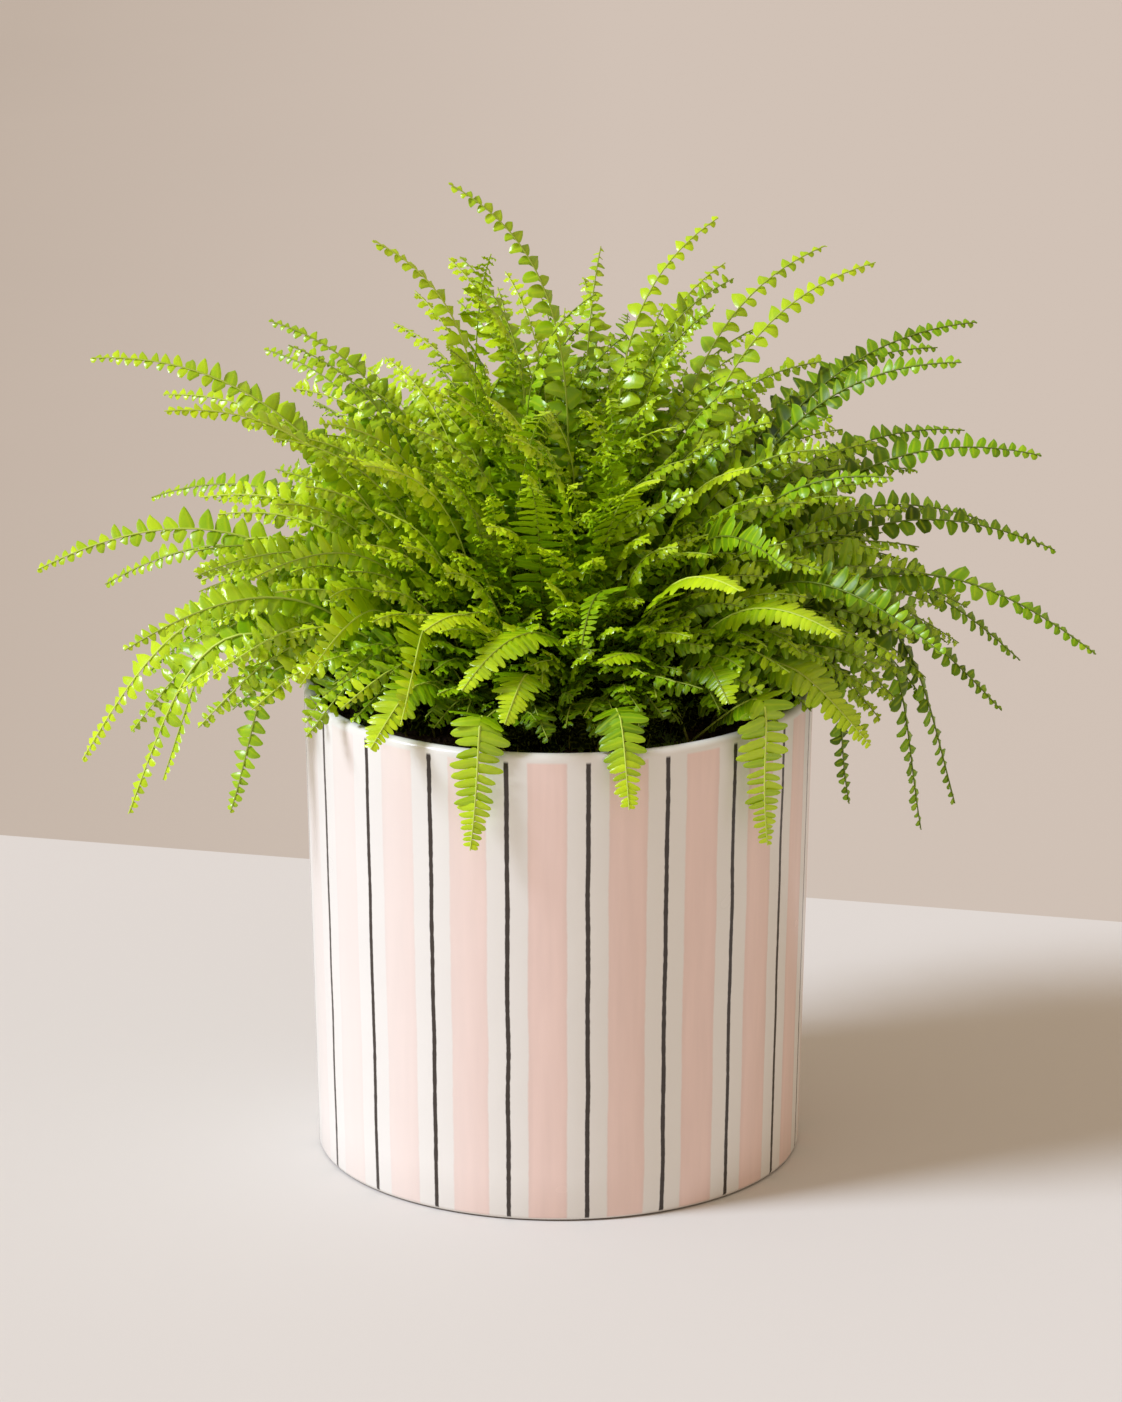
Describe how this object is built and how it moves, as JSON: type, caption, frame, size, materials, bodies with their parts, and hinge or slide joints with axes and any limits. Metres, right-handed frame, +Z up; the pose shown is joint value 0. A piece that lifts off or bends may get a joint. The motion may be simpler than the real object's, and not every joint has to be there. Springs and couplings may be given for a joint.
{
  "type": "potted boston fern",
  "caption": "Bushy Boston fern with arching, small-leaved fronds, growing in a plain cylinder pot of glazed stoneware with vertical stripes",
  "frame": {"origin": "middle of the pot's flat foot, on the surface that it stands on", "axes": "+Z up along the pot's axis; the picture's viewer looks along +Y, so -Y is the front; +X is to the viewer's right, along the plant's widest spread"},
  "size_m": [0.4947, 0.3562, 0.4676],
  "materials": {
    "glaze": "gloss",
    "peat": "matte",
    "leaf": "satin"
  },
  "bodies": {
    "root": {"frond_back_01": "leaf", "frond_back_02": "leaf", "frond_back_03": "leaf", "frond_back_04": "leaf", "frond_back_05": "leaf", "frond_back_06": "leaf", "frond_back_07": "leaf", "frond_back_08": "leaf", "frond_back_09": "leaf", "frond_front_01": "leaf", "frond_front_02": "leaf", "frond_front_03": "leaf", "frond_front_04": "leaf", "frond_front_05": "leaf", "frond_front_06": "leaf", "frond_front_07": "leaf", "frond_front_08": "leaf", "frond_front_09": "leaf", "frond_front_10": "leaf", "frond_front_11": "leaf", "frond_front_12": "leaf", "frond_front_13": "leaf", "frond_left_01": "leaf", "frond_left_02": "leaf", "frond_left_03": "leaf", "frond_left_04": "leaf", "frond_left_05": "leaf", "frond_left_06": "leaf", "frond_left_07": "leaf", "frond_left_08": "leaf", "frond_left_09": "leaf", "frond_left_10": "leaf", "frond_left_11": "leaf", "frond_left_12": "leaf", "frond_left_13": "leaf", "frond_right_01": "leaf", "frond_right_02": "leaf", "frond_right_03": "leaf", "frond_right_04": "leaf", "frond_right_05": "leaf", "frond_right_06": "leaf", "frond_right_07": "leaf", "frond_right_08": "leaf", "frond_right_09": "leaf", "frond_right_10": "leaf", "frond_right_11": "leaf", "frond_right_12": "leaf", "frond_right_13": "leaf", "frond_right_14": "leaf", "frond_top_01": "leaf", "frond_top_02": "leaf", "frond_top_03": "leaf", "frond_top_04": "leaf", "frond_top_05": "leaf", "frond_top_06": "leaf", "frond_top_07": "leaf", "frond_top_08": "leaf", "frond_top_09": "leaf", "pot": "glaze", "soil": "peat"}
  },
  "joints": []
}
